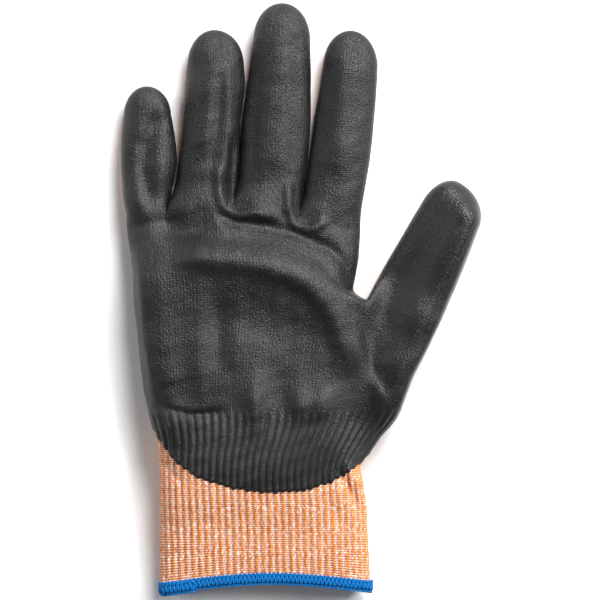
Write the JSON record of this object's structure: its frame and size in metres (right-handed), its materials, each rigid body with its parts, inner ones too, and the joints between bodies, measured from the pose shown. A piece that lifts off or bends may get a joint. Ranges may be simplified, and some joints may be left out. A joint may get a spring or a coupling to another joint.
{
  "type": "cut resistant glove",
  "caption": "Right-hand seamless knitted work glove with a dipped foam coating over palm, fingers and fingertips, a rib cuff and an overlocked hem; it bends at the wrist, knuckles and thumb.",
  "frame": {"origin": "on the surface the glove lies on, under the middle of its outline", "axes": "+Y from the cuff to the fingertips, +X towards the thumb side, +Z out of the palm, away from the surface the glove's back lies on"},
  "size_m": [0.151, 0.2499, 0.027],
  "materials": {
    "coating": "matte micro-foam",
    "knit": "orange, pink and grey melange knit",
    "hem_thread": "blue overlock thread",
    "elastic": "covered elastic yarn"
  },
  "bodies": {
    "palm": {"palm_liner": "knit", "palm_coating": "coating"},
    "cuff": {"rib_cuff": "knit", "wrist_coating": "coating", "cuff_elastic": "elastic", "cuff_hem": "hem_thread", "hem_lap": "hem_thread"},
    "little_finger_base": {"little_finger_base_liner": "knit", "little_finger_base_coating": "coating"},
    "little_finger_tip": {"little_finger_tip_liner": "knit", "little_finger_tip_coating": "coating"},
    "ring_finger_base": {"ring_finger_base_liner": "knit", "ring_finger_base_coating": "coating"},
    "ring_finger_tip": {"ring_finger_tip_liner": "knit", "ring_finger_tip_coating": "coating"},
    "middle_finger_base": {"middle_finger_base_liner": "knit", "middle_finger_base_coating": "coating"},
    "middle_finger_tip": {"middle_finger_tip_liner": "knit", "middle_finger_tip_coating": "coating"},
    "index_finger_base": {"index_finger_base_liner": "knit", "index_finger_base_coating": "coating"},
    "index_finger_tip": {"index_finger_tip_liner": "knit", "index_finger_tip_coating": "coating"},
    "thumb_base": {"thumb_base_liner": "knit", "thumb_base_coating": "coating"},
    "thumb_tip": {"thumb_tip_liner": "knit", "thumb_tip_coating": "coating"}
  },
  "joints": [
    {"name": "wrist_bend", "type": "hinge", "parent": "palm", "child": "cuff", "pos_m": [-0.016, -0.066, 0.0212], "axis": [-1, 0, 0], "range_deg": [0, 60]},
    {"name": "little_knuckle", "type": "hinge", "parent": "palm", "child": "little_finger_base", "pos_m": [-0.06405, 0.047, 0.0148], "axis": [1, 0, 0], "range_deg": [0, 90]},
    {"name": "little_middle_joint", "type": "hinge", "parent": "little_finger_base", "child": "little_finger_tip", "pos_m": [-0.0643, 0.067, 0.014], "axis": [1, 0, 0], "range_deg": [0, 90]},
    {"name": "ring_knuckle", "type": "hinge", "parent": "palm", "child": "ring_finger_base", "pos_m": [-0.0399, 0.047, 0.0152], "axis": [1, 0, 0], "range_deg": [0, 90]},
    {"name": "ring_middle_joint", "type": "hinge", "parent": "ring_finger_base", "child": "ring_finger_tip", "pos_m": [-0.0369, 0.082, 0.0143], "axis": [1, 0, 0], "range_deg": [0, 90]},
    {"name": "middle_knuckle", "type": "hinge", "parent": "palm", "child": "middle_finger_base", "pos_m": [-0.01265, 0.047, 0.0152], "axis": [1, 0, 0], "range_deg": [0, 90]},
    {"name": "middle_middle_joint", "type": "hinge", "parent": "middle_finger_base", "child": "middle_finger_tip", "pos_m": [-0.0096, 0.088, 0.0143], "axis": [1, 0, 0], "range_deg": [0, 90]},
    {"name": "index_knuckle", "type": "hinge", "parent": "palm", "child": "index_finger_base", "pos_m": [0.0143, 0.047, 0.0152], "axis": [1, 0, 0], "range_deg": [0, 90]},
    {"name": "index_middle_joint", "type": "hinge", "parent": "index_finger_base", "child": "index_finger_tip", "pos_m": [0.019, 0.082, 0.0143], "axis": [1, 0, 0], "range_deg": [0, 90]},
    {"name": "thumb_base_joint", "type": "hinge", "parent": "palm", "child": "thumb_base", "pos_m": [0.0463, 0.0011, 0.0182], "axis": [0.891, -0.454, 0], "range_deg": [0, 50]},
    {"name": "thumb_middle_joint", "type": "hinge", "parent": "thumb_base", "child": "thumb_tip", "pos_m": [0.05697, 0.0226, 0.0157], "axis": [0.891, -0.454, 0], "range_deg": [0, 80]}
  ]
}
